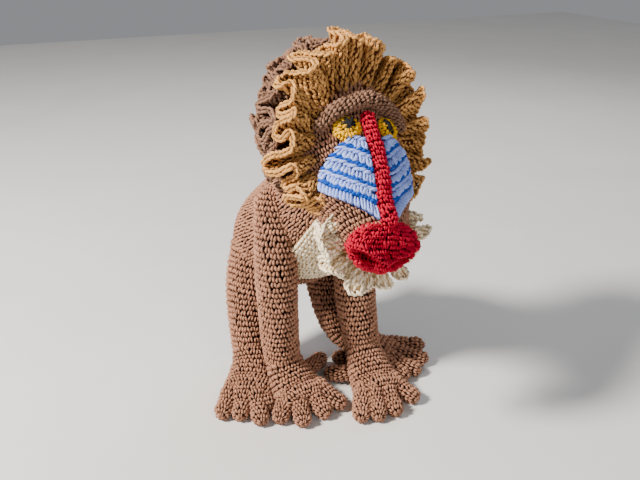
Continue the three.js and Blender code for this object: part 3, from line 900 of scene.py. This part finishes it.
class Nodes:
    """A short way to add shader nodes and links."""

    def __init__(self, tree):
        self.tree = tree

    def add(self, kind, **values):
        node = self.tree.nodes.new(kind)
        for key, value in values.items():
            setattr(node, key, value)
        return node

    def link(self, source, target):
        self.tree.links.new(source, target)

    def math(self, operation, a, b=None, c=None):
        node = self.add("ShaderNodeMath", operation=operation)
        for socket, value in zip(node.inputs, (a, b, c)):
            if value is None:
                continue
            if isinstance(value, (int, float)):
                socket.default_value = value
            else:
                self.link(value, socket)
        return node.outputs[0]

    def mix(self, factor, a, b):
        node = self.add("ShaderNodeMix", data_type="RGBA")
        for socket, value in ((node.inputs[0], factor), (node.inputs[6], a), (node.inputs[7], b)):
            if isinstance(value, (int, float)):
                socket.default_value = value
            elif isinstance(value, (list, tuple)):
                socket.default_value = (*value, 1)
            else:
                self.link(value, socket)
        return node.outputs[2]

    def noise(self, vector, scale, detail):
        node = self.add("ShaderNodeTexNoise")
        node.inputs["Scale"].default_value = scale
        node.inputs["Detail"].default_value = detail
        self.link(vector, node.inputs["Vector"])
        return node.outputs["Fac"]


PLIES = 5
TWIST_LENGTH = 9.0
FIBRE_SCALE = 2600
PATCH_SCALE = 70
RIDGE_HEIGHT = 0.0004


def yarn_material(name, light, shade_colour):
    """Twisted yarn: ply grooves and fibres from the strand's own map, with painted shade where it dips in
    and in the ply grooves.
    """
    material = bpy.data.materials.new(f"yarn_{name}")
    material.use_nodes = True
    tree = material.node_tree
    n = Nodes(tree)
    shader = tree.nodes["Principled BSDF"]
    light, shade_colour = linear(light), linear(shade_colour)
    depth = n.add("ShaderNodeAttribute", attribute_name="depth").outputs["Fac"]
    tone = n.add("ShaderNodeAttribute", attribute_name="tone").outputs["Fac"]
    twist = n.add("ShaderNodeUVMap", uv_map="twist").outputs["UV"]
    place = n.add("ShaderNodeTexCoord").outputs["Object"]
    split = n.add("ShaderNodeSeparateXYZ")
    n.link(twist, split.inputs[0])
    along, around = split.outputs[0], split.outputs[1]
    turns = n.math("MULTIPLY_ADD", along, 1 / TWIST_LENGTH, around)
    ply = n.math("MULTIPLY_ADD", n.math("SINE", n.math("MULTIPLY", turns, 2 * math.pi * PLIES)), 0.5, 0.5)
    ply = n.math("POWER", ply, 0.6)
    fibres = n.noise(place, FIBRE_SCALE, 3)
    patches = n.noise(place, PATCH_SCALE, 2)
    # Each stitch's own random tone and the fibres' and patches' own colour, darkened by painted shade along
    # the ply grooves.
    shade = n.math("MULTIPLY_ADD", tone, 0.26, 0.74)
    shade = n.math("ADD", shade, n.math("MULTIPLY", n.math("SUBTRACT", fibres, 0.5), 0.5))
    shade = n.math("ADD", shade, n.math("MULTIPLY", n.math("SUBTRACT", patches, 0.5), 0.3))
    shade = n.math("MULTIPLY", shade, n.math("MULTIPLY_ADD", ply, 0.5, 0.62))
    # Painted shade: the colour runs from the shade colour where the strand dips in (depth 0) to the lit
    # colour (depth 1).
    reach = n.math("MULTIPLY", depth, shade)
    reach.node.use_clamp = True
    colour = n.mix(reach, shade_colour, light)
    n.link(colour, shader.inputs["Base Color"])
    height = n.math("ADD", n.math("MULTIPLY", ply, 0.8), n.math("MULTIPLY", fibres, 0.4))
    ridge = n.add("ShaderNodeBump")
    ridge.inputs["Strength"].default_value = 0.35
    ridge.inputs["Distance"].default_value = RIDGE_HEIGHT
    n.link(height, ridge.inputs["Height"])
    n.link(ridge.outputs[0], shader.inputs["Normal"])
    shader.inputs["Roughness"].default_value = 0.82
    shader.inputs["Specular IOR Level"].default_value = 0.15
    shader.inputs["Sheen Weight"].default_value = 0.12
    shader.inputs["Sheen Roughness"].default_value = 0.45
    shader.inputs["Sheen Tint"].default_value = (*light, 1)
    return material


# Each yarn: its lit colour, then the painted shade colour taken by the sunk parts of its stitches and by
# the cloth under them.
YARNS = {
    "brown": yarn_material("brown", 0xB8856A, 0x120603),
    "dark_brown": yarn_material("dark_brown", 0x96705A, 0x140804),
    "gold": yarn_material("gold", 0xE6AA62, 0x3E1A04),
    "cream": yarn_material("cream", 0xFFF2D6, 0xB89A6C),
    "red": yarn_material("red", 0xC80A34, 0x40030C),
    "lilac": yarn_material("lilac", 0xA8BCFF, 0x2A4290),
    "blue": yarn_material("blue", 0x1450B8, 0x04143C),
    "yellow": yarn_material("yellow", 0xF8BE00, 0x4A2A02),
    "black": yarn_material("black", 0x1C1C20, 0x030304),
}

# Stuffed pieces

CELL = (4.2, 3.5)
DIGIT_CELL = (4.0, 3.4)
FUZZ = 0.2
CORE_SINK = -2.3
CULL = 1.6
ROLL_CULL = 6.0
UNDER = 0.6
HEM = 0.07
FACE_CELL = (3.4, 2.7)
FACE_START = 0.43


def dressed(
    name,
    surface,
    cell=CELL,
    yarn="brown",
    form=None,
    seed=0,
    cull=CULL,
    under=(),
    stop=1.0,
    more=(),
    sink=CORE_SINK,
    drift=0.29,
    rough=1.4,
):
    """Covers a stuffed surface in rounds of stitches, leaving out those that others hide."""
    rng = np.random.default_rng(SEED + seed)
    form = form or vee(cell)
    batches = []
    for stitch, size, start, end in ((form, cell, 0.0, stop), *more):
        roots = rounds(surface, size, start, end, drift)
        spots = surface.spot(roots[:, 0], roots[:, 1], 0.0)
        keep = near(spots, name, cull)
        for patch in under:
            keep = keep & ~beneath(spots, patch, UNDER)
        batches.append(Batch(stitch, surface, roots[keep].T, rng, rough))
        batches += fuzz(surface, size, roots[keep], rng)
    add_piece(name, yarn, [name], [surface.core(sink)], batches)


def fuzz(surface, cell, roots, rng):
    """A few loose fibres over a surface."""
    batches = []
    for turn in HAIR_TURNS:
        chosen = roots[rng.uniform(0, 1, len(roots)) < FUZZ / len(HAIR_TURNS)]
        form = hair(cell, turn, rng.uniform(2.5, 4.5))
        batches.append(Batch(form, surface, chosen.T, rng, rough=3.0))
    return batches


skull = Stuffed(**SKULL, place=head_pose)
body = Stuffed(**BODY)
plain_skull = Stuffed(**SKULL)
cheeks = {name: Patch(plain_skull, CHEEK_INNER, CHEEK_OUTER, sign) for name, sign in SIDES.items()}
chest = Patch(body, CHEST_RIGHT, CHEST_LEFT, 1, as_is)


def make_body():
    plain = vee(CELL, rings=5)
    dressed("torso", body, form=plain, under=[chest], seed=1)
    face = (vee(FACE_CELL, rings=5), FACE_CELL, FACE_START, 1.0)
    hidden = cheeks.values()
    dressed("head", skull, form=plain, stop=FACE_START, more=[face], under=hidden, seed=2, rough=1.8)
    dressed("tail", Stuffed(**TAIL), seed=3)
    for k, (name, spec) in enumerate(LIMBS.items()):
        dressed(name, Stuffed(**spec), seed=10 + k)
    for k, (name, spec) in enumerate(PALMS.items()):
        dressed(name, Stuffed(**spec), seed=20 + k)
        for m, (digit, (root, tip)) in enumerate(DIGITS[name].items()):
            make_digit(f"{name}_{digit}", root, tip, seed=30 + 5 * k + m)


def make_digit(name, root, tip, seed):
    root, tip = np.array(root, float), np.array(tip, float)
    knuckle = root + (tip - root) * KNUCKLE_SHARE
    knuckle[2] = root[2] + (tip[2] - root[2]) * KNUCKLE_DROP
    digit = Stuffed(
        path=[root, knuckle, tip],
        sections=[(DIGIT_RADIUS,) * 2] * 2,
        side=(0, 0, 1),
        caps=(DIGIT_RADIUS,) * 2,
    )
    dressed(name, digit, cell=DIGIT_CELL, seed=seed, sink=-2.0)


# Face


def make_brow():
    ends, quarter, middle = (0.24, 46), (0.18, 26), (0.135, 2)
    places = [(ends[0], -ends[1]), (quarter[0], -quarter[1]), middle, quarter, ends]
    path = [plain_skull.point(step, math.radians(angle), 3.0) for step, angle in places]
    sections = [(2.8, 2.8), (3.7, 3.7), (3.9, 3.9), (3.7, 3.7), (2.8, 2.8)]
    roll = Stuffed(path, sections, (0, 0.6, 0.8), (3, 3), head_pose)
    cell = (3.6, 2.6)
    form = vee(cell, lean=0.75, sink=0.7)
    dressed(
        "brow",
        roll,
        cell=cell,
        yarn="dark_brown",
        form=form,
        seed=60,
        sink=-1.7,
        drift=0.3,
        cull=ROLL_CULL,
    )


def make_bridge():
    top, foot = 0.245, 1.02
    steps = [top + (foot - top) * share for share in (0, 0.25, 0.5, 0.75, 1)]
    path = [plain_skull.point(step, 0.0, 0.4) for step in steps]
    sections = [(wide, 3.4) for wide in (3.5, 3.9, 4.4)]
    roll = Stuffed(path, sections, (1, 0, 0), (3, 3), head_pose)
    cell = (2.8, 2.4)
    form = vee(cell, fat=1.15, lean=0.25, sink=0.7, dip=0.6)
    dressed(
        "nose_bridge",
        roll,
        cell=cell,
        yarn="red",
        form=form,
        seed=61,
        sink=-1.3,
        drift=0.5,
        rough=2.8,
    )


def make_nose():
    nose = Nose(place=head_pose)
    cell = (2.8, 2.5)
    form = vee(cell, fat=1.15, lean=0.2, sink=0.8, dip=0.7)
    dressed(
        "nose",
        nose,
        cell=cell,
        yarn="red",
        form=form,
        seed=62,
        cull=ROLL_CULL,
        drift=0.5,
        sink=-1.5,
        rough=3.0,
    )


PUPIL_LIFT = 2.7
# Each pupil's strands: angle, half length and the place of its middle on the eye.
PUPILS = {
    "right": ((10, 4.1, 1.0, 1.5), (-34, 4.0, 1.7, 1.3), (66, 3.9, 0.7, 1.7), (-66, 3.4, 1.2, 0.9)),
    "left": ((18, 3.7, -2.2, 0.5), (34, 3.5, -1.2, -0.5), (78, 2.1, -2.2, 2.0)),
}


def make_eyes():
    cell = (3.5, 2.7)
    form = vee(cell, fat=1.15, lean=0.3, sink=0.7)
    for name, sign in SIDES.items():
        x, y, z, here = onto(plain_skull, EYE["step"], sign * math.radians(EYE["angle"]))
        disc = ball(here, z, x, (EYE["radius"], EYE["radius"], EYE["depth"]), head_pose)
        dressed(
            f"eye_{name}",
            disc,
            cell=cell,
            yarn="yellow",
            form=form,
            seed=63 + sign,
            sink=-1.2,
            cull=1.4,
            rough=1.8,
        )
        rng = np.random.default_rng(SEED + 70 + sign)
        pupil = Plane(here + z * PUPIL_LIFT, x, y, z)
        strands = []
        for angle, long, right, up in PUPILS[name]:
            c, q = math.cos(math.radians(angle)), math.sin(math.radians(angle))
            path = [
                (right - q * long * k, up + c * long * k, lift)
                for k, lift in ((-1, -1.0), (-0.6, 0.3), (0.0, 0.65), (0.6, 0.3), (1, -1.0))
            ]
            strands.append(strand(path, [0.75, 1.0, 1.15, 1.0, 0.75], low=-1.5, high=-0.6))
        batch = Batch(Form((1, 1), strands), pupil, np.array([[0.0, 0.0, 1.0, 1.0]]).T, rng, rough=0.0)
        add_piece(f"pupil_{name}", "black", [f"pupil_{name}"], [], [batch])


class Plane:
    """A flat place on the face, in millimetres from its middle."""

    def __init__(self, middle, right, up, out):
        self.middle, self.right, self.up, self.out = middle, right, up, out

    def spot(self, a, s, h):
        a, s, h = (np.asarray(x, float)[..., None] for x in np.broadcast_arrays(a, s, h))
        return head_pose(self.middle + a * self.right + s * self.up + h * self.out)

    def chart(self, a, s):
        return np.full((*np.broadcast(a, s).shape, 2), 0.5)


CHEEK_HEM = 1.03
STRIPE_HALF = 0.033
CHAIN_SHARE = 0.36
CHAIN_PITCH = 2.5
TOOTH_PITCH = 3.6
TOOTH_HANG = 0.03
BLUE_PITCH = 1.9


def patch_row(patch, v, tall, pitch, node, form_of, rng, lift, reach=2.6):
    """A row of stitches across a patch, at v down it and of that height as a share."""
    width = patch.width(v)
    count = max(2, round(width / pitch))
    a = (np.arange(count) + 0.5) / count
    full = np.full(count, 1.0)
    roots = np.column_stack([a, full * v, full / count, full * tall])
    keep = near(patch.spot(a, full * v, lift), node, reach)
    return Batch(form_of((width / count, tall * patch.height())), patch, roots[keep].T, rng, rough=1.6)


def make_cheeks():
    for name, sign in SIDES.items():
        patch = cheeks[name]
        rng = np.random.default_rng(SEED + 80 + sign)
        node = f"cheek_{name}"
        lines = [0.0, *CHEEK_STRIPES, CHEEK_HEM]
        batches = []
        for row, (start, stop) in enumerate(zip(lines, lines[1:])):
            low = start + (STRIPE_HALF if row else 0)
            high = stop - (STRIPE_HALF if row < len(CHEEK_STRIPES) else 0)
            chain = 0.0
            if row < len(CHEEK_STRIPES):
                chain = (high - low) * CHAIN_SHARE
                line = low + chain / 2
                batches.append(patch_row(patch, line, chain, CHAIN_PITCH, node, lilac_chain, rng, lift=1.3))
            high = high + TOOTH_HANG
            middle, tall = (low + chain + high) / 2, high - low - chain
            batches.append(patch_row(patch, middle, tall, TOOTH_PITCH, node, tooth, rng, lift=1.3))
        add_piece(node, "lilac", [node], [patch.core(0.1, 0.5)], batches)
        for k, line in enumerate(CHEEK_STRIPES):
            node = f"cheek_stripe_{name}_{k + 1}"
            tall = STRIPE_HALF * 2.3
            batch = patch_row(patch, line, tall, BLUE_PITCH, node, stripe_form, rng, lift=2.0, reach=4.0)
            half = STRIPE_HALF * 0.9
            core = patch.core(0.2, 0.7, line - half, line + half, along=2)
            add_piece(node, "blue", [node], [core], [batch])


def raised(form, lift):
    form.z = form.z + lift
    return form


def lilac_chain(cell):
    return raised(slant(cell, fat=1.3), 1.3)


def stripe_form(cell):
    return raised(slant(cell, fat=1.05), 1.25)


# Ruffles


FRILL_WIDTH = 3.3
ROW_HEIGHT = 3.7
LINK = 2.9
FRILL_CULL = 2.0
PLAIN_EDGE = 0.98


def make_ruffle(name, spec, seed):
    rng = np.random.default_rng(SEED + seed)
    ruffle = Ruffle(spec, rng)
    reach = max(spec["outer"]) - spec["inner"]
    rows = max(3, round(reach / ROW_HEIGHT))
    batches = []
    for k in range(rows):
        batches += ruffle_row(name, ruffle, frill_stitch, (k + 0.5) / rows, reach, rows, FRILL_WIDTH, rng)
    batches += ruffle_row(name, ruffle, edging, 1.0, reach, rows, LINK, rng)
    add_piece(name, spec["yarn"], [name], [ruffle.core(0.3)], batches)


def ruffle_row(name, ruffle, form_of, v, reach, rows, pitch, rng):
    """A row of a frill's stitches, evenly spaced along its folds."""
    length, table = ruffle.row(v)
    count = max(8, round(length / pitch))
    cell = (length / count, reach / rows)
    u = np.interp((np.arange(count) + 0.5) / count, table, ruffle.fine)
    du = np.gradient(u)
    plain = ruffle.spot(u, min(v, PLAIN_EDGE), 0.0, plain=True)
    keep = near(plain, name, FRILL_CULL)
    roots = np.column_stack([u, np.full(count, v), du, np.full(count, 1 / rows)])[keep]
    return [Batch(form_of(cell), ruffle, roots.T, rng, rough=1.8), *fuzz(ruffle, cell, roots, rng)]


def make_chest():
    rng = np.random.default_rng(SEED + 95)
    wide, tall = 4.2, 3.6
    lift, reach = 1.35, 2.6
    rows = round(chest.height() / tall)
    batches = []
    for k in range(rows):
        v = (k + 0.5) / rows
        width = chest.width(v)
        count = round(width / wide)
        a = (np.arange(count) + 0.5) / count
        roots = np.column_stack([a, np.full(count, v), np.full(count, 1 / count), np.full(count, 1 / rows)])
        keep = near(chest.spot(a, np.full(count, v), lift), "chest_patch", reach)
        batches.append(Batch(vee((width / count, tall), sink=-0.2), chest, roots[keep].T, rng, rough=1.4))
    add_piece("chest_patch", "cream", ["chest_patch"], [chest.core(0.2, 0.6)], batches)


def make_rump():
    form = vee(DIGIT_CELL, sink=1.0)
    for name, sign in SIDES.items():
        x, _, z, here = onto(body, RUMP["step"], sign * math.radians(RUMP["angle"]))
        pad = ball(here, z, x, RUMP["half"])
        dressed(
            f"rump_{name}",
            pad,
            cell=DIGIT_CELL,
            yarn="lilac",
            form=form,
            seed=97 + sign,
            sink=-1.4,
        )


# Floor and light


def make_floor():
    mesh = bpy.data.meshes.new("floor")
    half = 1.6
    corners = [(-half, -half, 0), (half, -half, 0), (half, half, 0), (-half, half, 0)]
    mesh.from_pydata(corners, [], [(0, 1, 2, 3)])
    material = bpy.data.materials.new("floor")
    material.use_nodes = True
    n = Nodes(material.node_tree)
    shader = material.node_tree.nodes["Principled BSDF"]
    place = n.add("ShaderNodeTexCoord").outputs["Object"]
    mottle = n.noise(place, 9, 3)
    n.link(n.mix(mottle, (0.62, 0.61, 0.60), (0.70, 0.69, 0.68)), shader.inputs["Base Color"])
    shader.inputs["Roughness"].default_value = 0.8
    mesh.materials.append(material)
    floor = bpy.data.objects.new("floor", mesh)
    bpy.context.scene.collection.objects.link(floor)


def area_light(name, at, target, size, power, colour):
    data = bpy.data.lights.new(name, "AREA")
    data.shape = "DISK"
    data.size = size
    data.energy = power
    data.color = colour
    light = bpy.data.objects.new(name, data)
    light.location = at
    away = Vector(at) - Vector(target)
    light.rotation_euler = away.to_track_quat("Z", "Y").to_euler()
    bpy.context.scene.collection.objects.link(light)


def make_light():
    world = bpy.data.worlds.new("studio")
    world.use_nodes = True
    background = world.node_tree.nodes["Background"]
    background.inputs["Color"].default_value = (0.92, 0.95, 1.0, 1)
    background.inputs["Strength"].default_value = 0.29
    bpy.context.scene.world = world
    middle = (0, 0, 0.11)
    area_light("key", (-0.85, -0.02, 0.85), middle, size=0.2, power=38, colour=(1.0, 0.94, 0.86))
    area_light("fill", (0.0, -1.3, 0.7), middle, size=0.7, power=5, colour=(1.0, 0.98, 0.95))
    area_light("rim", (0.6, 0.5, 0.7), middle, size=0.5, power=3, colour=(0.95, 0.97, 1.0))


# Build

make_floor()
make_light()
make_body()
make_brow()
make_bridge()
make_nose()
make_eyes()
make_cheeks()
for index, (ruffle_name, ruffle_spec) in enumerate(RUFFLES.items()):
    make_ruffle(ruffle_name, ruffle_spec, 90 + index)
make_chest()
make_rump()
